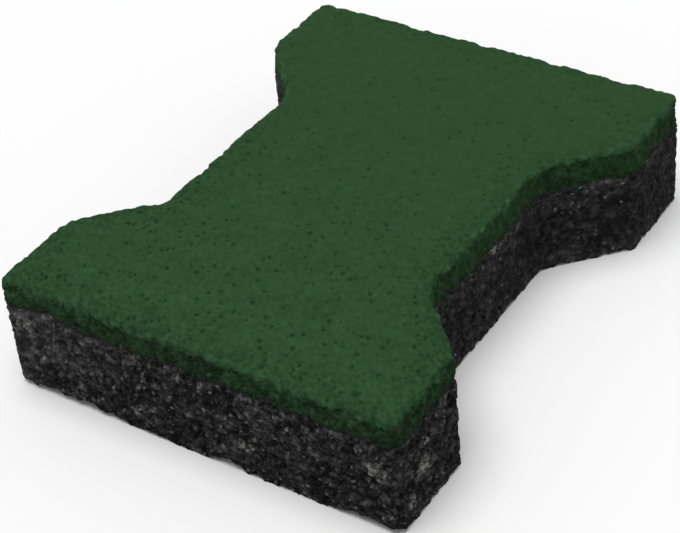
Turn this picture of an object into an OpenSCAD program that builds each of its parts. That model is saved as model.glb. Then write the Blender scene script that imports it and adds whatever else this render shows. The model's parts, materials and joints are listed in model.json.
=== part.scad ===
// Interlocking rubber paver: an I-shaped slab pressed from rubber granulate in two layers,
// a thick black base of coarse crumb and a coloured wear layer of fine crumb bonded on top.
// The flanges of two neighbours, butted end to end, fill the notch at the waist.
// X runs across the paver, Y along it, and Z up from the face it lies on.

/* [Plan] */
// Length of the paver, from end face to end face
length = 200; // [160:1:260]
// Width across the flanges
flange_w = 156; // [120:1:200]
// Depth of the notch on each side of the waist
notch_depth = 24.5; // [12:0.5:32]
// Length of each sloping side, measured along the paver
slope_len = 26; // [14:0.5:40]

/* [Layers] */
// Thickness of the black base layer
base_h = 36; // [20:1:60]
// Thickness of the coloured wear layer
top_h = 10; // [5:0.5:20]

/* [Corners] */
// Plan radius of the four end corners
end_r = 3.5; // [3:0.5:10]
// Plan radius where a flange side meets its slope
flange_r = 4; // [3:0.5:12]
// Plan radius in the hollow where a slope meets the waist
waist_r = 10; // [3:0.5:20]
// Radius rolled along the upper edge of the wear layer
edge_roll = 2.5; // [0.5:0.5:3]

/* [Hidden] */

// Steps in each rounded corner of the plan, and in the rolled edge
arc_steps = 8;
roll_steps = 6;

// Straight side of each flange, so that two of them are as long as a neighbour's waist
side_len = (length / 2 - slope_len) / 2;

// Half sizes of the plan
flange_x = flange_w / 2;
waist_x = flange_x - notch_depth;
end_y = length / 2;
flange_y = end_y - side_len;
waist_y = flange_y - slope_len;

// Corners of the +X side from end to end, before rounding: [x, y, plan radius]
side_corners = [
    [flange_x, -end_y, end_r],
    [flange_x, -flange_y, flange_r],
    [waist_x, -waist_y, waist_r],
    [waist_x, waist_y, waist_r],
    [flange_x, flange_y, flange_r],
    [flange_x, end_y, end_r]
];

// Half a turn gives the other side, so the corners run anticlockwise all the way round
corners = concat(side_corners, [for (c = side_corners) [-c.x, -c.y, c.z]]);
corner_count = len(corners);

function corner(i) = corners[(i + corner_count) % corner_count];
function place(i) = [corner(i).x, corner(i).y];
function radius(i) = corner(i).z;

// Direction of the side that leaves corner i, and the unit vector at an angle
function heading(i) = let (d = place(i + 1) - place(i)) atan2(d.y, d.x);
function toward(angle) = [cos(angle), sin(angle)];

// Change of direction at corner i: positive at an outer corner, negative in a hollow
function turn(i) = let (t = heading(i) - heading(i - 1)) t - 360 * floor((t + 180) / 360);

// Direction from the centre of the rounding of corner i to its first point
function arc_start(i) = heading(i - 1) - 90 * sign(turn(i));

// Centre of the rounding: inside the slab at an outer corner, outside it in a hollow
function arc_centre(i) =
    place(i)
    - toward(heading(i - 1)) * radius(i) * tan(abs(turn(i)) / 2)
    - toward(arc_start(i)) * radius(i);

// Rounding of corner i on the line that lies inset inside the slab's outline
function arc(i, inset) =
    let (r = radius(i) - inset * sign(turn(i)))
    [for (k = [0 : arc_steps]) arc_centre(i) + toward(arc_start(i) + turn(i) * k / arc_steps) * r];

// The whole line, anticlockwise from the near end of the +X side. Point k and point
// line_count - 1 - k mirror each other across the paver's long axis.
function line(inset) = [for (i = [0 : corner_count - 1]) each arc(i, inset)];
line_count = len(line(0));

// Points of the rolled edge, line by line from its foot to the wearing face
roll_points = [
    for (k = [0 : roll_steps])
        let (tilt = 90 * k / roll_steps)
        for (p = line(edge_roll * (1 - cos(tilt)))) [p.x, p.y, edge_roll * sin(tilt)]
];

// Faces between two lines that lie one above the other, starting at points low and high
function band(low, high) = [
    for (k = [0 : line_count - 1])
        let (next = (k + 1) % line_count)
        [low + k, high + k, high + next, low + next]
];

// Flat face inside one line, as strips across the paver from each point to its mirror point
function cap(first, face_up) = [
    for (k = [0 : line_count / 2 - 2])
        let (strip = [k, k + 1, line_count - 2 - k, line_count - 1 - k])
        [for (c = face_up ? [3, 2, 1, 0] : [0, 1, 2, 3]) first + strip[c]]
];

// Black base of coarse crumb: square edges, flat underneath
module base_layer() {
    color([0.14, 0.14, 0.14]) linear_extrude(base_h) polygon(line(0));
}

// Slab as thick as the rolled edge, its side rolled over to the wearing face
module rolled_edge() {
    bands = [for (k = [0 : roll_steps - 1]) each band(k * line_count, (k + 1) * line_count)];
    caps = concat(cap(0, false), cap(roll_steps * line_count, true));
    polyhedron(points = roll_points, faces = concat(caps, bands), convexity = 4);
}

// Green wear layer of fine crumb, bonded to the base all over, its upper edge rolled
module top_layer() {
    straight_h = top_h - edge_roll;
    color([0.18, 0.30, 0.19]) {
        translate([0, 0, base_h]) {
            linear_extrude(straight_h) polygon(line(0));
            translate([0, 0, straight_h]) rolled_edge();
        }
    }
}

base_layer();
top_layer();
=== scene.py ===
"""Interlocking rubber paver, pressed from crumb rubber: a black base and a green wear layer.

Both layers start from the shape of their CAD node, get a fine skin, and are then roughened as pressed
crumb is: each granule sits a little deeper or shallower than the next, with gaps where they meet and
holes where one is missing. Sizes are in millimetres until they reach a mesh, which is in metres.
"""

import json
import math

import bpy
from mathutils import Matrix, Vector

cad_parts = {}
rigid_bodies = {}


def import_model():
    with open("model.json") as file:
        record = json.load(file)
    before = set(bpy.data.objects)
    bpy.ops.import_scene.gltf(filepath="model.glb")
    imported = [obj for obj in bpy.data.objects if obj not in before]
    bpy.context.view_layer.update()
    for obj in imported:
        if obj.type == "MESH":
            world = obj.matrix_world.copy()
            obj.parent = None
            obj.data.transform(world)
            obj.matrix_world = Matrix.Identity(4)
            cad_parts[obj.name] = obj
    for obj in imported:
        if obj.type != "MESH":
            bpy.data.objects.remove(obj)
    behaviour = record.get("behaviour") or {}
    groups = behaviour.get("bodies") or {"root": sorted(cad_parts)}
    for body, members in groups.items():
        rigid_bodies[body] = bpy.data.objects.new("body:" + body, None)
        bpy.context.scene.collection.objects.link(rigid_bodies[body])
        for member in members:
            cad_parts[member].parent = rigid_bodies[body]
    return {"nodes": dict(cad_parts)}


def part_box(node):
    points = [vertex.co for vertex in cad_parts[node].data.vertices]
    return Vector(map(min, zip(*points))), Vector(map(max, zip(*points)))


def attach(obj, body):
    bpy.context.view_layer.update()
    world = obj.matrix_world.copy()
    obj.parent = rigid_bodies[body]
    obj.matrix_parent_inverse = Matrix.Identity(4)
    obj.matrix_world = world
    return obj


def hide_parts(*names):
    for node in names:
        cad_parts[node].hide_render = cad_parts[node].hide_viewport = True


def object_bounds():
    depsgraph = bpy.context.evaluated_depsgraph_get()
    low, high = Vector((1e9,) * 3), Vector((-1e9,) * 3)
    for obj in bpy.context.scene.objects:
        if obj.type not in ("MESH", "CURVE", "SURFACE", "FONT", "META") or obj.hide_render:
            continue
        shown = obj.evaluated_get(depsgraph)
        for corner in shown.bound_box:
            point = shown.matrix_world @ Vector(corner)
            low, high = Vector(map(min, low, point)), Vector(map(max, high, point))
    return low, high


MM = 0.001

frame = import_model()
cad_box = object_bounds()


# ---------------------------------------------------------------- helpers


def linear(srgb_hex):
    """An sRGB hex colour as linear RGBA."""
    parts = [int(srgb_hex[i : i + 2], 16) / 255 for i in (1, 3, 5)]
    return tuple(c / 12.92 if c <= 0.04045 else ((c + 0.055) / 1.055) ** 2.4 for c in parts) + (1.0,)


def add(tree, kind, inputs=(), **settings):
    """Adds a node with its settings. inputs gives its sockets, in their order or by name or number, a
    value, another node's socket, or another node, whose first output is meant. Several sockets of a Mix
    node share a name, so they go by number: 2 and 3 mix numbers, 4 and 5 places, 6 and 7 colours."""
    node = tree.nodes.new(kind)
    for name, value in settings.items():
        setattr(node, name, value)
    for key, value in inputs.items() if isinstance(inputs, dict) else enumerate(inputs):
        if isinstance(value, bpy.types.Node):
            value = value.outputs[0]
        if isinstance(value, bpy.types.NodeSocket):
            tree.links.new(value, node.inputs[key])
        else:
            node.inputs[key].default_value = value
    return node


# ---------------------------------------------------------------- sizes and colours

base_low, base_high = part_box("base_layer")
top_low, top_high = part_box("top_layer")
JOINT_Z = base_high.z / MM  # height of the joint between the two layers
EDGE_ROLL = 2.5  # radius of the wear layer's upper edge
ROLL_Z = top_high.z / MM - EDGE_ROLL  # height at which that edge begins to roll over
NOTCH = 24.5  # depth of the notch at the waist
SIDE_X = round(base_high.x / MM, 3)  # the sides of the flanges
WAIST_X = SIDE_X - NOTCH  # the sides of the waist
NEAR_Y = round(base_low.y / MM, 3)  # the near end

SKIN = 0.5  # spacing of the skin's points
MOST_TRIANGLES = 194_000  # of one piece

BLACK_GRAIN = 2.0  # granules of the base, across
BLACK_CHIP = 1.15  # finer crumb between them
GREEN_GRAIN = 1.5  # granules of the wear layer
PALE_GRAIN = 2.2  # spacing of the grains that may be pale ones, which also serve as painted glints
GRIT = 0.6  # grit on each granule's face. The real one is finer, and would be too fine to show
PORE = 2.0  # spacing of the open pores of the wearing face
WIDEST_PORE = 0.42  # half the width of the widest pore, as a share of that spacing
DRAWN_TURN = math.radians(-36.0)  # from the way in which the pores are drawn out to the paver's length
JOINT_WAVE = 102049.0  # seed of the joint's wave, the best of many tried for swings where the real ones are
RUBBER_IOR = 1.5

BLACK = "#363636"
PALE_GRAIN_AND_GLINT = "#b4b4b2"  # pale grains among the black, which also serve as painted glints
SCUFFED = "#aeaeac"  # black crumb where it was knocked
GREEN = "#29472a"
GREY = "#3c403b"  # dull patches of the wear layer's wall
# Painted shade inside an open pore
PORE_SHADE = "#152b17"

SMOOTH = {"interpolation_type": "SMOOTHSTEP"}
HALF = (0.5, 0.5, 0.5)  # middle of a noise's or a cell's colour

# Pale scuffs of the base, as from knocks: the place on its wall and how far the mark reaches
KNOCKS = (
    (70.0, NEAR_Y, 25.0, 4.5),
    (20.0, NEAR_Y, 12.0, 3.0),
    (4.0, NEAR_Y, 32.0, 2.5),
    (-24.0, NEAR_Y, 10.0, 3.0),
    (-70.0, NEAR_Y, 29.0, 5.0),
    (SIDE_X, -92.0, 8.0, 3.5),
    (SIDE_X, -85.0, 18.0, 5.0),
    (SIDE_X, -84.0, 27.0, 2.6),
    (SIDE_X, -79.0, 15.0, 3.0),
    (WAIST_X, 4.0, 34.8, 3.4),
    (WAIST_X, 9.0, 32.5, 2.2),
)


# ---------------------------------------------------------------- skin and relief


def pick(thing):
    """Selects one object alone, for the operators that follow."""
    bpy.ops.object.select_all(action="DESELECT")
    thing.select_set(True)
    bpy.context.view_layer.objects.active = thing


def skinned_copy(node_name, name):
    """A copy of a CAD node with an even skin of small faces, ready to be roughened."""
    pick(frame["nodes"][node_name])
    bpy.ops.object.duplicate()
    piece = bpy.context.object
    bpy.ops.object.parent_clear(type="CLEAR_KEEP_TRANSFORM")
    for key in [k for k in piece.keys() if k.startswith("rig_")]:
        del piece[key]
    piece.name = piece.data.name = name
    piece.data.materials.clear()
    bpy.ops.object.mode_set(mode="EDIT")
    bpy.ops.mesh.select_all(action="SELECT")
    bpy.ops.mesh.remove_doubles(threshold=1e-6)
    bpy.ops.object.mode_set(mode="OBJECT")
    piece.data.remesh_voxel_size = SKIN * MM
    bpy.ops.object.voxel_remesh()
    return piece


def new_geometry_tree(name):
    """An empty geometry node tree and the node that its geometry comes in by."""
    tree = bpy.data.node_groups.new(name, "GeometryNodeTree")
    tree.interface.new_socket("Geometry", in_out="INPUT", socket_type="NodeSocketGeometry")
    tree.interface.new_socket("Geometry", in_out="OUTPUT", socket_type="NodeSocketGeometry")
    return tree, add(tree, "NodeGroupInput")


def relief_tree(name):
    """A geometry node tree, its geometry with the place of each point kept, and that place in millimetres."""
    tree, entry = new_geometry_tree(name)
    place = add(tree, "GeometryNodeInputPosition")
    kept = add(
        tree,
        "GeometryNodeStoreNamedAttribute",
        {"Geometry": entry, "Name": "mould_place", "Value": place},
        data_type="FLOAT_VECTOR",
    )
    return tree, kept, add(tree, "ShaderNodeVectorMath", {0: place, "Scale": 1 / MM}, operation="SCALE")


def wall_distance(tree, geometry, mm, low, high):
    """Keeps how far each point lies from the upright wall between two heights, in millimetres."""
    up = add(tree, "ShaderNodeSeparateXYZ", [mm])
    below = add(tree, "ShaderNodeMath", [up.outputs["Z"], high], operation="LESS_THAN")
    above = add(tree, "ShaderNodeMath", [up.outputs["Z"], low], operation="GREATER_THAN")
    both = add(tree, "ShaderNodeMath", [below, above], operation="MULTIPLY")
    wall = add(tree, "GeometryNodeSeparateGeometry", {"Geometry": geometry, "Selection": both}, domain="FACE")
    reach = add(tree, "GeometryNodeProximity", [wall.outputs["Selection"]])
    far = add(tree, "ShaderNodeMath", [reach.outputs["Distance"], 1 / MM], operation="MULTIPLY")
    kept = add(
        tree,
        "GeometryNodeStoreNamedAttribute",
        {"Geometry": geometry, "Name": "wall_distance", "Value": far},
    )
    return kept, far


def run_nodes(piece, tree):
    """Runs a geometry node tree on the piece and keeps what comes of it."""
    pick(piece)
    step = piece.modifiers.new(tree.name, "NODES")
    step.node_group = tree
    bpy.ops.object.modifier_apply(modifier=step.name)


def apply_relief(piece, tree):
    """Runs the relief on the piece and thins its skin to the most triangles allowed."""
    run_nodes(piece, tree)
    triangles = sum(len(p.vertices) - 2 for p in piece.data.polygons)
    thin = piece.modifiers.new("thin", "DECIMATE")
    thin.ratio = min(1.0, MOST_TRIANGLES / triangles)
    # Joined to squares, some triangles would fold over each other
    thin.use_collapse_triangulate = True
    bpy.ops.object.modifier_apply(modifier=thin.name)
    bpy.ops.object.shade_smooth()
    # Thinning may leave a point a hair outside the mould
    for point in piece.data.vertices:
        point.co = Vector(min(max(c, a), b) for c, a, b in zip(point.co, *cad_box))
    return piece


def map_for_bake(piece, low, high, joint_up, turn_z):
    """Gives the piece a UV map for a bake, drawn from its places in the mould: the flat face that shows in
    plan, the sides as strips beside it, the ends as strips beyond it, and the face at the joint small in the
    corner between them. joint_up says whether the joint is the upper face. The walls end at height turn_z."""
    low, size = low / MM, (high - low) / MM
    gap = 3.0  # between the parts of the map
    at_end, at_foot = 1.0, 0.2  # how far from an end, or from the lower face, a face still belongs to it
    strip = size.z + gap
    beside, beyond = size.x + 2 * gap, size.y + 2 * gap
    tree, entry = new_geometry_tree("bake_map")
    kept = add(tree, "GeometryNodeInputNamedAttribute", {"Name": "mould_place"}, data_type="FLOAT_VECTOR")
    mm = add(tree, "ShaderNodeVectorMath", {0: kept, "Scale": 1 / MM}, operation="SCALE")
    place = add(tree, "ShaderNodeVectorMath", [mm, low], operation="SUBTRACT")
    parts = add(tree, "ShaderNodeSeparateXYZ", [place])
    middle = add(tree, "GeometryNodeFieldOnDomain", [place], data_type="FLOAT_VECTOR", domain="FACE")
    of_face = add(tree, "ShaderNodeSeparateXYZ", [middle])
    plan = add(tree, "ShaderNodeCombineXYZ", [parts.outputs["X"], parts.outputs["Y"]])
    side = add(tree, "ShaderNodeCombineXYZ", [parts.outputs["Z"], parts.outputs["Y"]])
    end = add(tree, "ShaderNodeCombineXYZ", [parts.outputs["X"], parts.outputs["Z"]])
    joint_scale = (2 * size.z + gap) / size.y
    shown = (plan, 1.0, (gap, gap))
    hidden = (plan, joint_scale, (beside, beyond))
    spot = (0.0, 0.0, 0.0)
    for (drawn, scale, corner), axis, test, limit in (
        ((side, 1.0, (beside, gap)), "X", "GREATER_THAN", 0.0),
        ((side, 1.0, (beside + strip, gap)), "X", "LESS_THAN", size.x / 2),
        ((end, 1.0, (gap, beyond)), "Y", "LESS_THAN", at_end),
        ((end, 1.0, (gap, beyond + strip)), "Y", "GREATER_THAN", size.y - at_end),
        (shown if joint_up else hidden, "Z", "LESS_THAN", at_foot),
        (hidden if joint_up else shown, "Z", "GREATER_THAN", turn_z - low.z),
    ):
        scaled = add(tree, "ShaderNodeVectorMath", {0: drawn, "Scale": scale}, operation="SCALE")
        there = add(tree, "ShaderNodeVectorMath", [scaled, (*corner, 0.0)], operation="ADD")
        here = add(tree, "ShaderNodeMath", [of_face.outputs[axis], limit], operation=test)
        # The later of two places that both fit is the one that is kept
        spot = add(tree, "ShaderNodeMix", {0: here, 4: spot, 5: there}, data_type="VECTOR").outputs[1]
    whole = size.y + 4 * gap + 2 * size.z
    fitted = add(tree, "ShaderNodeVectorMath", {0: spot, "Scale": 1 / whole}, operation="SCALE")
    mapped = add(
        tree,
        "GeometryNodeStoreNamedAttribute",
        {"Geometry": entry, "Name": "OFBake", "Value": fitted},
        data_type="FLOAT2",
        domain="CORNER",
    )
    add(tree, "NodeGroupOutput", {"Geometry": mapped})
    run_nodes(piece, tree)


def ragged(tree, mm, push_by=2.0, waves=1.2):
    """Places pushed about a little, so that granules come out ragged instead of many-sided."""
    push = add(tree, "ShaderNodeTexNoise", {"Vector": mm, "Scale": 1 / waves, "Detail": 1.0})
    centred = add(tree, "ShaderNodeVectorMath", [push.outputs["Color"], HALF], operation="SUBTRACT")
    shift = add(tree, "ShaderNodeVectorMath", {0: centred, "Scale": push_by}, operation="SCALE")
    return add(tree, "ShaderNodeVectorMath", [mm, shift], operation="ADD")


def granule_depth(tree, place, grain, crevice, sink, missing, tilt):
    """How deep each point lies under the mould wall, from one size of granule. crevice is the depth and
    width of the gap round it, sink the most that it sits back, missing the share of granules that fell
    out and the depth of their holes, and tilt how far a granule leans."""
    crevice_depth, crevice_width = crevice
    missing_share, hole_depth = missing
    spaced = {"Vector": place, "Scale": 1 / grain}
    cell = add(tree, "ShaderNodeTexVoronoi", spaced)
    edge = add(tree, "ShaderNodeTexVoronoi", spaced, feature="DISTANCE_TO_EDGE")
    gap = add(tree, "ShaderNodeMapRange", [edge, 0.0, crevice_width / grain, crevice_depth, 0.0], **SMOOTH)
    own = add(tree, "ShaderNodeSeparateXYZ", [cell.outputs["Color"]])
    rarely_deep = add(tree, "ShaderNodeMath", [own.outputs["X"], 2.0], operation="POWER")
    set_back = add(tree, "ShaderNodeMath", [rarely_deep, sink, gap], operation="MULTIPLY_ADD")
    lost_from, lost_by = 1 - missing_share, 1 - missing_share / 2
    hole = add(tree, "ShaderNodeMapRange", [own.outputs["Y"], lost_from, lost_by, 0.0, hole_depth])
    away = add(tree, "ShaderNodeVectorMath", [place, cell.outputs["Position"]], operation="SUBTRACT")
    lean = add(tree, "ShaderNodeVectorMath", [cell.outputs["Color"], HALF], operation="SUBTRACT")
    slope = add(tree, "ShaderNodeVectorMath", [away, lean], operation="DOT_PRODUCT")
    tilted = add(tree, "ShaderNodeMath", [slope.outputs["Value"], tilt, set_back], operation="MULTIPLY_ADD")
    return add(tree, "ShaderNodeMath", [tilted, hole], operation="ADD")


def flattened(tree, depth, by):
    """The depth of each point once the mould wall has pressed flat whatever stood proud of it."""
    pressed = add(tree, "ShaderNodeMath", [depth, by], operation="SUBTRACT")
    return add(tree, "ShaderNodeMath", [pressed, 0.0], operation="MAXIMUM")


def lump_depth(tree, mm, lump, deep, flat):
    """Soft hollows of about one size, none deeper than deep. The higher flat is, from 0 to 0.65, the more
    of the surface stays flat."""
    cloud = add(tree, "ShaderNodeTexNoise", {"Vector": mm, "Scale": 1 / lump, "Detail": 1.0})
    return add(tree, "ShaderNodeMapRange", [cloud, flat, 0.65, 0.0, deep])


def from_joint(tree, mm):
    """How far above or below the joint between the layers each point lies."""
    parts = add(tree, "ShaderNodeSeparateXYZ", [mm])
    off = add(tree, "ShaderNodeMath", [parts.outputs["Z"], JOINT_Z], operation="SUBTRACT")
    return add(tree, "ShaderNodeMath", [off], operation="ABSOLUTE")


def joint_lift(tree, mm):
    """Height by which the joint runs up or down at a point, fading away from the joint. The wear layer
    hangs lower along the sides than at the near end."""
    parts = add(tree, "ShaderNodeSeparateXYZ", [mm])
    flat = add(tree, "ShaderNodeCombineXYZ", [parts.outputs["X"], parts.outputs["Y"]])
    wave = {"Vector": flat, "W": JOINT_WAVE, "Scale": 1 / 16}
    slow = add(tree, "ShaderNodeTexNoise", wave, noise_dimensions="4D")
    quick = add(tree, "ShaderNodeTexNoise", {"Vector": flat, "Scale": 1 / 3.5, "Detail": 1.0})
    swing = add(tree, "ShaderNodeMapRange", [slow, 0.3, 0.7, -1.5, 1.5])
    jag = add(tree, "ShaderNodeMapRange", [quick, 0.3, 0.7, -0.45, 0.45])
    line = add(tree, "ShaderNodeMath", [swing, jag], operation="ADD")
    away = from_joint(tree, mm)
    close = add(tree, "ShaderNodeMapRange", [away, 0.0, 5.0, 1.0, 0.0], **SMOOTH)
    broad = add(tree, "ShaderNodeMapRange", [away, 0.0, 9.5, 1.0, 0.0], **SMOOTH)
    hang = add(tree, "ShaderNodeMapRange", [parts.outputs["Y"], -65.0, -10.0, 0.0, -2.0], **SMOOTH)
    sag = add(tree, "ShaderNodeMath", [hang, broad], operation="MULTIPLY")
    return add(tree, "ShaderNodeMath", [line, close, sag], operation="MULTIPLY_ADD")


def joint_groove(tree, mm, deep):
    """Depth of the shallow groove that runs along parts of the joint between the two layers."""
    patch = add(tree, "ShaderNodeTexNoise", {"Vector": mm, "Scale": 1 / 5, "Detail": 1.0})
    here = add(tree, "ShaderNodeMapRange", [patch, 0.4, 0.65, 0.0, deep])
    return add(tree, "ShaderNodeMapRange", [from_joint(tree, mm), 0.2, 1.3, here, 0.0], **SMOOTH)


def drawn_out(tree, place):
    """Places squeezed along one line, so that a pattern on them comes out longer that way."""
    turn = {"Vector": place, "Angle": DRAWN_TURN}
    turned = add(tree, "ShaderNodeVectorRotate", turn, rotation_type="Z_AXIS")
    return add(tree, "ShaderNodeVectorMath", [turned, (1.0, 0.7, 1.0)], operation="MULTIPLY")


def pore_mask(tree, mm, wall):
    """1 in the open pores of the wearing face, 0 elsewhere. Most are small. They crowd along the rim and
    at the near end."""
    parts = add(tree, "ShaderNodeSeparateXYZ", [ragged(tree, mm)])
    plan = add(tree, "ShaderNodeCombineXYZ", [parts.outputs["X"], parts.outputs["Y"]])
    spaced = {"Vector": drawn_out(tree, plan), "Scale": 1 / PORE}
    cell = add(tree, "ShaderNodeTexVoronoi", spaced, voronoi_dimensions="2D")
    own = add(tree, "ShaderNodeSeparateXYZ", [cell.outputs["Color"]])
    end = add(tree, "ShaderNodeMapRange", [parts.outputs["Y"], -90.0, 50.0, 0.74, 0.15])
    rim = add(tree, "ShaderNodeMapRange", [wall, 3.0, 14.0, 0.25, 0.0])
    patch = add(tree, "ShaderNodeTexNoise", {"Vector": plan, "Scale": 1 / 18})
    crowd = add(tree, "ShaderNodeMapRange", [patch, 0.35, 0.65, 0.12, 1.85])
    share = add(tree, "ShaderNodeMath", [end, crowd, rim], operation="MULTIPLY_ADD")
    open_from = add(tree, "ShaderNodeMath", [1.0, share], operation="SUBTRACT")
    rank = add(tree, "ShaderNodeMapRange", [own.outputs["X"], open_from, 1.0, 0.0, 1.0])
    mostly_small = add(tree, "ShaderNodeMath", [rank, 2.0], operation="POWER")
    wide = add(tree, "ShaderNodeMath", [mostly_small, WIDEST_PORE], operation="MULTIPLY")
    inside = add(tree, "ShaderNodeMath", [wide, cell], operation="SUBTRACT")
    open_here = add(tree, "ShaderNodeMapRange", [inside, 0.0, 0.14, 0.0, 1.0])
    # The plan pattern would smear down the wall, so it ends on the roll
    face = add(tree, "ShaderNodeMapRange", [wall, 3.0, 5.0, 0.0, 1.0])
    return add(tree, "ShaderNodeMath", [open_here, face], operation="MULTIPLY")


def place_points(tree, geometry, mm, depth, lift):
    """Moves each point inward by its depth and up by its lift, both in millimetres. At the joint it moves
    inward on the level, so that the two layers keep one edge."""
    level = add(tree, "ShaderNodeMapRange", [from_joint(tree, mm), 0.3, 1.2, 0.0, 1.0])
    kept_z = add(tree, "ShaderNodeCombineXYZ", [1.0, 1.0, level])
    outward = add(tree, "GeometryNodeInputNormal")
    normal = add(tree, "ShaderNodeVectorMath", [outward, kept_z], operation="MULTIPLY")
    shallow = add(tree, "ShaderNodeMath", [depth, 0.0], operation="MAXIMUM")
    metres = add(tree, "ShaderNodeMath", [shallow, -MM], operation="MULTIPLY")
    inward = add(tree, "ShaderNodeVectorMath", {0: normal, "Scale": metres}, operation="SCALE")
    up = add(tree, "ShaderNodeMath", [lift, MM], operation="MULTIPLY")
    upward = add(tree, "ShaderNodeCombineXYZ", {"Z": up})
    offset = add(tree, "ShaderNodeVectorMath", [inward, upward], operation="ADD")
    moved = add(tree, "GeometryNodeSetPosition", {"Geometry": geometry, "Offset": offset})
    add(tree, "NodeGroupOutput", {"Geometry": moved})


def roughen_base(piece):
    """Relief of the base: ragged granules that the mould wall flattened, and a crumbled lower edge."""
    tree, geometry, mm = relief_tree("black_crumb_relief")
    geometry, wall = wall_distance(tree, geometry, mm, low=3.0, high=JOINT_Z - 3.0)
    place = ragged(tree, mm)
    coarse = granule_depth(
        tree, place, BLACK_GRAIN, crevice=(0.8, 0.45), sink=0.6, missing=(0.12, 1.1), tilt=1.2
    )
    fine = granule_depth(
        tree, place, BLACK_CHIP, crevice=(0.3, 0.35), sink=0.3, missing=(0.12, 0.6), tilt=0.9
    )
    grains = add(tree, "ShaderNodeMath", [coarse, fine], operation="ADD")
    pressed = flattened(tree, grains, by=0.7)
    parts = add(tree, "ShaderNodeSeparateXYZ", [mm])
    # The lower face is made smoother than the walls, and the far half calmer than the near one
    smoother = add(tree, "ShaderNodeMapRange", [parts.outputs["Z"], 0.0, 2.5, 0.35, 1.0])
    calmer = add(tree, "ShaderNodeMapRange", [parts.outputs["Y"], -60.0, 60.0, 1.0, 0.6])
    share = add(tree, "ShaderNodeMath", [smoother, calmer], operation="MULTIPLY")
    lumps = lump_depth(tree, mm, lump=5.5, deep=0.4, flat=0.45)
    eased = add(tree, "ShaderNodeMath", [pressed, share, lumps], operation="MULTIPLY_ADD")
    depth = add(tree, "ShaderNodeMath", [eased, joint_groove(tree, mm, 0.7)], operation="ADD")
    # The lower edge lies a little high wherever granules were lost, most of all along the near end and at
    # both its corners
    foot = add(tree, "ShaderNodeMapRange", [parts.outputs["Z"], 0.0, 5.5, 1.0, 0.0], **SMOOTH)
    rim = add(tree, "ShaderNodeMapRange", [wall, 3.0, 9.0, 1.0, 0.0], **SMOOTH)
    edge = add(tree, "ShaderNodeMath", [foot, rim], operation="MULTIPLY")
    near = add(tree, "ShaderNodeMapRange", [parts.outputs["Y"], NEAR_Y + 1.0, NEAR_Y + 8.0, 1.0, 0.0])
    left = add(tree, "ShaderNodeMapRange", [parts.outputs["X"], 8.0 - SIDE_X, -10.0, 1.3, 0.0])
    right = add(tree, "ShaderNodeMapRange", [parts.outputs["X"], SIDE_X - 14.0, SIDE_X - 1.0, 0.0, 1.3])
    ends = add(tree, "ShaderNodeMath", [left, right], operation="ADD")
    bites = lump_depth(tree, mm, lump=13.0, deep=2.6, flat=0.44)
    broken = add(tree, "ShaderNodeMath", [ends, bites], operation="ADD")
    nibbled = lump_depth(tree, mm, lump=3.4, deep=1.3, flat=0.42)
    lost = add(tree, "ShaderNodeMath", [broken, near, nibbled], operation="MULTIPLY_ADD")
    lift = add(tree, "ShaderNodeMath", [lost, edge, joint_lift(tree, mm)], operation="MULTIPLY_ADD")
    place_points(tree, geometry, mm, depth, lift)
    return apply_relief(piece, tree)


def roughen_top(piece):
    """Relief of the wear layer: a lumpy, grainy wall and rolled edge round an even, slightly open face."""
    tree, geometry, mm = relief_tree("green_crumb_relief")
    geometry, wall = wall_distance(tree, geometry, mm, low=JOINT_Z + 0.1, high=ROLL_Z)
    place = ragged(tree, mm)
    grains = granule_depth(
        tree, place, GREEN_GRAIN, crevice=(0.45, 0.4), sink=0.4, missing=(0.1, 0.6), tilt=0.9
    )
    pressed = flattened(tree, grains, by=0.3)
    beside = add(tree, "ShaderNodeMapRange", [wall, 0.0, 2.0, 1.0, 0.15], **SMOOTH)
    grainy = add(tree, "ShaderNodeMath", [pressed, beside], operation="MULTIPLY")
    # Lumps of the wall run over the roll and a little way onto the wearing face, the least at the near end
    small = lump_depth(tree, mm, lump=3.0, deep=0.5, flat=0.4)
    large = lump_depth(tree, mm, lump=8.0, deep=0.8, flat=0.47)
    lumps = add(tree, "ShaderNodeMath", [small, large], operation="ADD")
    parts = add(tree, "ShaderNodeSeparateXYZ", [mm])
    most = add(tree, "ShaderNodeMapRange", [parts.outputs["Y"], NEAR_Y + 2.0, NEAR_Y + 15.0, 0.6, 1.0])
    within = add(tree, "ShaderNodeMapRange", [wall, 1.0, 8.0, most, 0.0], **SMOOTH)
    lumpy = add(tree, "ShaderNodeMath", [lumps, within, grainy], operation="MULTIPLY_ADD")
    pores = pore_mask(tree, mm, wall)
    opened = add(tree, "ShaderNodeMath", [pores, 0.5, lumpy], operation="MULTIPLY_ADD")
    depth = add(tree, "ShaderNodeMath", [opened, joint_groove(tree, mm, 0.5)], operation="ADD")
    place_points(tree, geometry, mm, depth, joint_lift(tree, mm))
    return apply_relief(piece, tree)


# ---------------------------------------------------------------- materials


def new_material(name):
    material = bpy.data.materials.new(name)
    material.use_nodes = True
    material.node_tree.nodes.clear()
    return material, material.node_tree


def mould_place(tree):
    """The place in the mould that each point came from, in millimetres. Colour follows the granules by it."""
    place = add(tree, "ShaderNodeAttribute", attribute_name="mould_place")
    return add(tree, "ShaderNodeVectorMath", {0: place.outputs["Vector"], "Scale": 1 / MM}, operation="SCALE")


def grit_on(tree, mm):
    """The fine grit on every granule."""
    return add(tree, "ShaderNodeTexNoise", {"Vector": mm, "Scale": 1 / GRIT})


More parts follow.
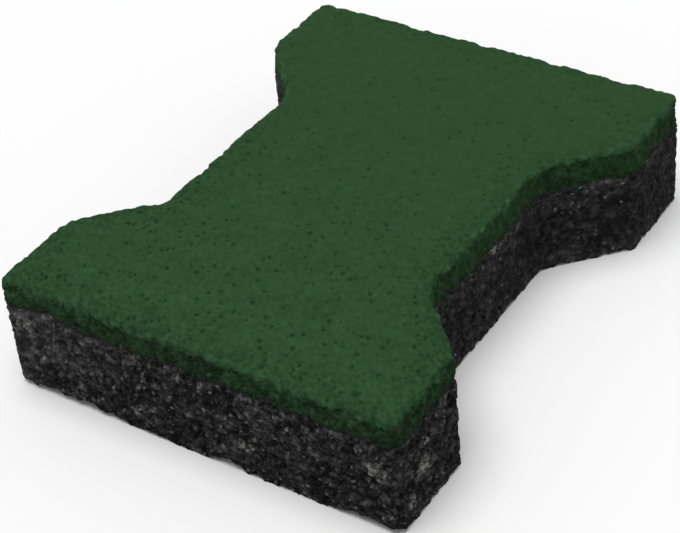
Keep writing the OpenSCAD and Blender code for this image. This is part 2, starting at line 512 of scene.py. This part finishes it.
def matt_rubber(tree, colour, grit, roughness, relief, height, gloss):
    """The rubber's own surface, which the grit stands out from by relief times height."""
    bump = add(tree, "ShaderNodeBump", {"Strength": relief, "Distance": height * MM, "Height": grit})
    skin = add(
        tree,
        "ShaderNodeBsdfPrincipled",
        {
            "Base Color": colour,
            "Roughness": roughness,
            "Normal": bump,
            "IOR": RUBBER_IOR,
            "Specular IOR Level": gloss,
        },
    )
    add(tree, "ShaderNodeOutputMaterial", {"Surface": skin})


def paler_places(tree, mm, left, far):
    """How much paler than the bare crumb each place of the base is: more so towards the joint, so darker
    towards the bottom, the most at one end of the near face, along the foot of the far half, and in soft
    patches under the joint."""
    parts = add(tree, "ShaderNodeSeparateXYZ", [mm])
    height = add(tree, "ShaderNodeMapRange", [parts.outputs["Z"], 2.0, JOINT_Z, 0.85, 1.15])
    foot = add(tree, "ShaderNodeMapRange", [parts.outputs["Z"], 2.0, 9.0, 0.6, 0.0])
    below = add(tree, "ShaderNodeMath", [foot, far, height], operation="MULTIPLY_ADD")
    face = add(tree, "ShaderNodeMapRange", [parts.outputs["Y"], NEAR_Y + 3.0, NEAR_Y + 20.0, 1.0, 0.0])
    near_left_end = add(tree, "ShaderNodeMath", [left, face], operation="MULTIPLY")
    corner = add(tree, "ShaderNodeMapRange", [parts.outputs["X"], -SIDE_X, 14.0 - SIDE_X, 1.4, 0.35])
    raised = add(tree, "ShaderNodeMapRange", [parts.outputs["Z"], 6.0, 28.0, corner, 1.6])
    even = add(tree, "ShaderNodeMath", [near_left_end, raised, below], operation="MULTIPLY_ADD")
    # The rest of the near face is the least pale part, with only faint paler patches
    rest_of_near_face = add(tree, "ShaderNodeMath", [face, near_left_end], operation="SUBTRACT")
    most = add(tree, "ShaderNodeMapRange", [rest_of_near_face, 0.0, 1.0, 0.9, 0.25])
    cloud = add(tree, "ShaderNodeTexNoise", {"Vector": mm, "Scale": 1 / 10, "Roughness": 0.6})
    drift = add(tree, "ShaderNodeMapRange", [cloud, 0.5, 0.62, 0.0, most])
    under = add(tree, "ShaderNodeMapRange", [parts.outputs["Z"], JOINT_Z - 8.0, JOINT_Z - 1.0, 0.0, 1.0])
    return add(tree, "ShaderNodeMath", [drift, under, even], operation="MULTIPLY_ADD")


def pale_grains_and_glints(tree, mm, contrast, blurred):
    """How pale each place is for the pale grains among the black, which also serve as painted glints of
    light, more of which lie in some patches.
    """
    spaced = {"Vector": ragged(tree, mm, push_by=0.7), "Scale": 1 / PALE_GRAIN}
    grain = add(tree, "ShaderNodeTexVoronoi", spaced)
    own = add(tree, "ShaderNodeSeparateXYZ", [grain.outputs["Color"]])
    patch = add(tree, "ShaderNodeTexNoise", {"Vector": mm, "Scale": 1 / 8, "Detail": 1.0})
    odds = add(tree, "ShaderNodeMapRange", [patch, 0.35, 0.65, 0.5, 1.0])
    share = add(tree, "ShaderNodeMath", [odds, contrast], operation="MULTIPLY")
    pale_from = add(tree, "ShaderNodeMath", [1.0, share], operation="SUBTRACT")
    wide = add(tree, "ShaderNodeMapRange", [own.outputs["X"], pale_from, 1.0, 0.15, 0.5])
    inside = add(tree, "ShaderNodeMath", [wide, grain], operation="SUBTRACT")
    chosen = add(tree, "ShaderNodeMath", [own.outputs["X"], pale_from], operation="GREATER_THAN")
    round_grain = add(tree, "ShaderNodeMapRange", [inside, 0.0, 0.2, 0.0, chosen])
    brightest = add(tree, "ShaderNodeMapRange", [blurred, 0.0, 1.0, 0.8, 0.6])
    bright = add(tree, "ShaderNodeMapRange", [own.outputs["Y"], 0.3, 1.0, 0.05, brightest])
    return add(tree, "ShaderNodeMath", [round_grain, bright], operation="MULTIPLY")


def scuffs(tree, mm, place):
    """How far each place was rubbed pale by a knock."""
    torn = ragged(tree, mm, push_by=8.0, waves=3.5)
    knocked = 0.0
    for x, y, z, reach in KNOCKS:
        off = add(tree, "ShaderNodeVectorMath", [torn, (x, y, z)], operation="DISTANCE")
        mark = add(tree, "ShaderNodeMapRange", [off.outputs["Value"], 0.5 * reach, reach, 1.0, 0.0])
        knocked = add(tree, "ShaderNodeMath", [mark, knocked], operation="MAXIMUM")
    rub = add(tree, "ShaderNodeTexNoise", {"Vector": place, "Scale": 1 / 1.8, "Roughness": 0.6})
    rubbed = add(tree, "ShaderNodeMapRange", [rub, 0.42, 0.6, 0.1, 0.95])
    return add(tree, "ShaderNodeMath", [rubbed, knocked], operation="MULTIPLY")


def black_crumb():
    """Pressed black crumb of tyre rubber, bound with polyurethane and left as moulded. To the eye it is a
    dull, near-black speckle without gloss, with pale grains in it, some of them painted glints, and paler
    places."""
    material, tree = new_material("pressed_black_crumb_rubber")
    mm = mould_place(tree)
    place = ragged(tree, mm)
    parts = add(tree, "ShaderNodeSeparateXYZ", [mm])
    # The granules differ less from each other at the paler left end and along the far half
    left = add(tree, "ShaderNodeMapRange", [parts.outputs["X"], -80.0, -25.0, 1.0, 0.0])
    far = add(tree, "ShaderNodeMapRange", [parts.outputs["Y"], -70.0, 30.0, 0.0, 1.0])
    blurred = add(tree, "ShaderNodeMath", [left, far], operation="MAXIMUM")
    contrast = add(tree, "ShaderNodeMapRange", [blurred, 0.0, 1.0, 1.0, 0.68])
    # Each granule has its own tone
    cell = add(tree, "ShaderNodeTexVoronoi", {"Vector": place, "Scale": 1 / BLACK_GRAIN})
    chip = add(tree, "ShaderNodeTexVoronoi", {"Vector": place, "Scale": 1 / BLACK_CHIP})
    tone = add(tree, "ShaderNodeSeparateXYZ", [cell.outputs["Color"]])
    small = add(tree, "ShaderNodeSeparateXYZ", [chip.outputs["Color"]])
    faint = add(tree, "ShaderNodeMapRange", [blurred, 0.0, 1.0, 0.55, 0.85])
    strong = add(tree, "ShaderNodeMapRange", [blurred, 0.0, 1.0, 1.45, 1.15])
    coarse = add(tree, "ShaderNodeMapRange", [tone.outputs["Z"], 0.0, 1.0, 0.67, 1.4])
    fine = add(tree, "ShaderNodeMapRange", [small.outputs["Z"], 0.0, 1.0, faint, strong])
    own_tone = add(tree, "ShaderNodeMath", [coarse, fine], operation="MULTIPLY")
    # The crumb is darker and paler in patches a few granules wide
    cloud = add(tree, "ShaderNodeTexNoise", {"Vector": mm, "Scale": 1 / 2.4})
    patchy = add(tree, "ShaderNodeMapRange", [cloud, 0.3, 0.7, 0.42, 1.6])
    broad = add(tree, "ShaderNodeTexNoise", {"Vector": mm, "Scale": 1 / 6.5, "Detail": 1.0})
    broader = add(tree, "ShaderNodeMapRange", [broad, 0.35, 0.65, 0.72, 1.35])
    uneven = add(tree, "ShaderNodeMath", [patchy, broader], operation="MULTIPLY")
    mixed_tone = add(tree, "ShaderNodeMath", [own_tone, uneven], operation="MULTIPLY")
    crumb = add(tree, "ShaderNodeMath", [mixed_tone, 1.3], operation="POWER")
    eased = add(tree, "ShaderNodeMix", {0: contrast, 2: 0.72, 3: crumb})
    paleness = paler_places(tree, mm, left, far)
    shade = add(tree, "ShaderNodeMath", [eased, paleness], operation="MULTIPLY")
    rubber = {0: 1.0, 6: linear(BLACK), 7: shade}
    body = add(tree, "ShaderNodeMix", rubber, data_type="RGBA", blend_type="MULTIPLY")
    # Pale grains among the black, some of them painted glints of light
    paled = {0: pale_grains_and_glints(tree, mm, contrast, blurred), 6: body.outputs[2], 7: linear(PALE_GRAIN_AND_GLINT)}
    speckled = add(tree, "ShaderNodeMix", paled, data_type="RGBA")
    worn = {0: scuffs(tree, mm, place), 6: speckled.outputs[2], 7: linear(SCUFFED)}
    colour = add(tree, "ShaderNodeMix", worn, data_type="RGBA")
    # Green crumb pressed down among the black along the joint
    spot = add(tree, "ShaderNodeSeparateXYZ", [chip.outputs["Position"]])
    rise = add(tree, "ShaderNodeMath", [small.outputs["Y"], 1.0, spot.outputs["Z"]], operation="MULTIPLY_ADD")
    strayed = add(tree, "ShaderNodeMath", [rise, JOINT_Z + 0.55], operation="GREATER_THAN")
    mixed = add(tree, "ShaderNodeMix", {0: strayed, 6: colour.outputs[2], 7: linear(GREEN)}, data_type="RGBA")
    grit = grit_on(tree, mm)
    roughness = add(tree, "ShaderNodeMapRange", [grit, 0.3, 0.7, 0.7, 0.95])
    matt_rubber(tree, mixed.outputs[2], grit, roughness, relief=0.6, height=0.3, gloss=0.03)
    return material


def green_wall(tree, mm, wall, beside):
    """Tone of the wear layer's wall against its face, where it is 1. The wall is blotched, it pales towards
    the far slopes, its roll most of all with a painted highlight, and it is darker along one flank."""
    parts = add(tree, "ShaderNodeSeparateXYZ", [mm])
    lump = add(tree, "ShaderNodeTexNoise", {"Vector": mm, "Scale": 1 / 4.5, "Detail": 1.0})
    darkest = add(tree, "ShaderNodeMapRange", [wall, 0.5, 5.0, 0.5, 1.0])
    palest = add(tree, "ShaderNodeMapRange", [wall, 0.5, 5.0, 1.25, 1.0])
    blotch = add(tree, "ShaderNodeMapRange", [lump, 0.35, 0.65, darkest, palest])
    # Towards the far slopes the wall is paler, and its roll paler still: painted highlight where the roll
    # catches the light
    paler_wall_lit_roll = add(tree, "ShaderNodeMapRange", [parts.outputs["Z"], ROLL_Z - 1.0, ROLL_Z + 1.0, 0.48, 1.3])
    there = add(tree, "ShaderNodeMapRange", [parts.outputs["X"], SIDE_X - 4.0, SIDE_X, paler_wall_lit_roll, 0.1])
    beyond = add(tree, "ShaderNodeMapRange", [parts.outputs["Y"], -55.0, 60.0, 0.0, there])
    flank = add(tree, "ShaderNodeMapRange", [parts.outputs["X"], SIDE_X - 8.0, SIDE_X, 0.0, -0.17])
    changed = add(tree, "ShaderNodeMath", [beyond, flank], operation="ADD")
    sides = add(tree, "ShaderNodeMath", [changed, beside, 1.0], operation="MULTIPLY_ADD")
    return add(tree, "ShaderNodeMath", [blotch, sides], operation="MULTIPLY")


def green_crumb():
    """Pressed fine crumb of coloured rubber, left as moulded. To the eye it is even and matt, softly mottled,
    and open in small pores, darkened inside with painted shade."""
    material, tree = new_material("pressed_green_crumb_rubber")
    mm = mould_place(tree)
    parts = add(tree, "ShaderNodeSeparateXYZ", [mm])
    wall = add(tree, "ShaderNodeAttribute", attribute_name="wall_distance").outputs["Fac"]
    beside = add(tree, "ShaderNodeMapRange", [wall, 0.5, 4.0, 1.0, 0.0])
    # Each granule has its own tone, the wall's and the rim's more so than the wearing face's
    cell = add(tree, "ShaderNodeTexVoronoi", {"Vector": mm, "Scale": 1 / GREEN_GRAIN})
    tone = add(tree, "ShaderNodeSeparateXYZ", [cell.outputs["Color"]])
    granular = add(tree, "ShaderNodeMapRange", [wall, 0.5, 4.0, 0.45, 0.16])
    each = add(tree, "ShaderNodeMath", [tone.outputs["Z"], 0.5], operation="SUBTRACT")
    grain = add(tree, "ShaderNodeMath", [each, granular, 1.0], operation="MULTIPLY_ADD")
    # A fine mottle lies over them, and a broad one over that
    cloud = add(tree, "ShaderNodeTexNoise", {"Vector": drawn_out(tree, mm), "Scale": 1 / 1.6})
    dark = add(tree, "ShaderNodeMapRange", [wall, 2.0, 16.0, 0.5, 0.79])
    light = add(tree, "ShaderNodeMapRange", [wall, 0.5, 4.0, 1.3, 1.08])
    mottle = add(tree, "ShaderNodeMapRange", [cloud, 0.3, 0.65, dark, light])
    broad = add(tree, "ShaderNodeTexNoise", {"Vector": mm, "Scale": 1 / 12})
    drifted = add(tree, "ShaderNodeMapRange", [broad, 0.3, 0.7, 0.93, 1.07])
    face = add(tree, "ShaderNodeMath", [mottle, drifted], operation="MULTIPLY")
    walled = add(tree, "ShaderNodeMath", [face, green_wall(tree, mm, wall, beside)], operation="MULTIPLY")
    # The wall is darker just above the joint: painted shade along the joint between the layers
    shade_above_joint = add(tree, "ShaderNodeMapRange", [parts.outputs["Z"], JOINT_Z, JOINT_Z + 3.5, 0.68, 1.12])
    layered = add(tree, "ShaderNodeMath", [walled, shade_above_joint], operation="MULTIPLY")
    crumb = add(tree, "ShaderNodeMath", [grain, layered], operation="MULTIPLY")
    # The far end is the more even one
    contrast = add(tree, "ShaderNodeMapRange", [parts.outputs["Y"], -80.0, 40.0, 1.0, 0.42])
    eased = add(tree, "ShaderNodeMix", {0: contrast, 2: 0.97, 3: crumb})
    soft = add(tree, "ShaderNodeTexNoise", {"Vector": mm, "Scale": 1 / 3.6})
    clouded = add(tree, "ShaderNodeMapRange", [soft, 0.3, 0.7, 0.91, 1.06])
    shade = add(tree, "ShaderNodeMath", [eased, clouded], operation="MULTIPLY")
    rubber = {0: 1.0, 6: linear(GREEN), 7: shade}
    body = add(tree, "ShaderNodeMix", rubber, data_type="RGBA", blend_type="MULTIPLY")
    # Greyish patches dull the wall, most of all at the near end
    spread = add(tree, "ShaderNodeTexNoise", {"Vector": mm, "Scale": 1 / 2.5})
    greyest = add(tree, "ShaderNodeMapRange", [parts.outputs["Y"], NEAR_Y + 1.0, NEAR_Y + 8.0, 0.35, 0.1])
    greyed = add(tree, "ShaderNodeMapRange", [spread, 0.45, 0.7, 0.0, greyest])
    grey = add(tree, "ShaderNodeMath", [greyed, beside], operation="MULTIPLY")
    dulled = add(tree, "ShaderNodeMix", {0: grey, 6: body.outputs[2], 7: linear(GREY)}, data_type="RGBA")
    # Painted shade darkens the inside of the pores, less so at the far end
    dimness = add(tree, "ShaderNodeMapRange", [contrast, 0.42, 1.0, 0.42, 0.7])
    pore_shade = add(tree, "ShaderNodeMath", [pore_mask(tree, mm, wall), dimness], operation="MULTIPLY")
    colour = add(tree, "ShaderNodeMix", {0: pore_shade, 6: dulled.outputs[2], 7: linear(PORE_SHADE)}, data_type="RGBA")
    # Black crumb pressed up among the green along the joint
    spot = add(tree, "ShaderNodeSeparateXYZ", [cell.outputs["Position"]])
    drop = add(tree, "ShaderNodeMath", [tone.outputs["X"], -1.2, spot.outputs["Z"]], operation="MULTIPLY_ADD")
    strayed = add(tree, "ShaderNodeMath", [drop, JOINT_Z - 0.35], operation="LESS_THAN")
    mixed = add(tree, "ShaderNodeMix", {0: strayed, 6: colour.outputs[2], 7: linear(BLACK)}, data_type="RGBA")
    matt_rubber(tree, mixed.outputs[2], grit_on(tree, mm), 0.85, relief=0.25, height=0.1, gloss=0.08)
    return material


# ---------------------------------------------------------------- pieces

base = roughen_base(skinned_copy("base_layer", "base_crumb"))
map_for_bake(base, base_low, base_high, joint_up=True, turn_z=JOINT_Z - 0.2)
base.data.materials.append(black_crumb())
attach(base, "root")
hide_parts("base_layer")

wear = roughen_top(skinned_copy("top_layer", "wear_crumb"))
map_for_bake(wear, top_low, top_high, joint_up=False, turn_z=ROLL_Z + 1.8)
wear.data.materials.append(green_crumb())
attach(wear, "root")
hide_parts("top_layer")


# ---------------------------------------------------------------- stage, light and camera

AMBIENT = 0.4  # share of the light that comes from all round. The sun gives the rest
FLOOR_SIZE = 12.0  # metres
SUN_WIDTH = 44.0  # degrees, as wide as a large softbox close overhead
SUN_TILT = (6.0, -3.0, 0.0)
AZIMUTH, ELEVATION, ROLL = math.radians(36.36), math.radians(38.07), math.radians(-5.70)
AIM, DISTANCE = Vector((4.38, -18.29, 23.0)), 651.3  # from the point that the camera looks at
LENS = 99.2


def shown_white(tree):
    """1 for the rays that should meet a plain white studio, 0 for the rays that light the paver."""
    path = add(tree, "ShaderNodeLightPath")
    direct, glossy = path.outputs["Is Camera Ray"], path.outputs["Is Glossy Ray"]
    seen = add(tree, "ShaderNodeMath", [direct, glossy], operation="MAXIMUM")
    return add(tree, "ShaderNodeMath", [seen, path.outputs["Is Transmission Ray"]], operation="MAXIMUM")


def studio_paint():
    """Matt paint of the floor: white to the eye, and grey to the light, which it throws little of back."""
    material, tree = new_material("white_studio_floor")
    tones = {0: shown_white(tree), 6: linear("#7c7c7c"), 7: linear("#ffffff")}
    paint = add(tree, "ShaderNodeMix", tones, data_type="RGBA")
    matt = add(tree, "ShaderNodeBsdfDiffuse", {"Color": paint.outputs[2]})
    add(tree, "ShaderNodeOutputMaterial", {"Surface": matt})
    return material


bpy.ops.mesh.primitive_plane_add(size=FLOOR_SIZE)
floor = bpy.context.object
floor.name = "studio_floor"
floor.data.materials.append(studio_paint())

world = bpy.data.worlds.new("studio")
bpy.context.scene.world = world
world.use_nodes = True
world.node_tree.nodes.clear()
level = add(world.node_tree, "ShaderNodeMix", {0: shown_white(world.node_tree), 2: AMBIENT, 3: 1.0})
sky = add(world.node_tree, "ShaderNodeBackground", {"Color": (1.0, 1.0, 1.0, 1.0), "Strength": level})
add(world.node_tree, "ShaderNodeOutputWorld", {"Surface": sky})

bpy.ops.object.light_add(type="SUN", location=(0.0, 0.0, 1.0))
sun = bpy.context.object
sun.name = "overhead_softbox"
sun.data.energy = math.pi * (1 - AMBIENT)
sun.data.angle = math.radians(SUN_WIDTH)
sun.rotation_euler = [math.radians(turn) for turn in SUN_TILT]

away = math.cos(ELEVATION)
back = Vector((math.sin(AZIMUTH) * away, -math.cos(AZIMUTH) * away, math.sin(ELEVATION)))
turned = Matrix.Rotation(AZIMUTH, 4, "Z") @ Matrix.Rotation(math.pi / 2 - ELEVATION, 4, "X")
camera_data = bpy.data.cameras.new("studio_camera")
camera_data.lens = LENS
camera_data.clip_start, camera_data.clip_end = 0.05, 30.0
camera = bpy.data.objects.new("studio_camera", camera_data)
bpy.context.scene.collection.objects.link(camera)
placed = Matrix.Translation(AIM * MM + back * DISTANCE * MM)
camera.matrix_world = placed @ turned @ Matrix.Rotation(ROLL, 4, "Z")
bpy.context.scene.camera = camera

bpy.context.scene.view_settings.view_transform = "Standard"
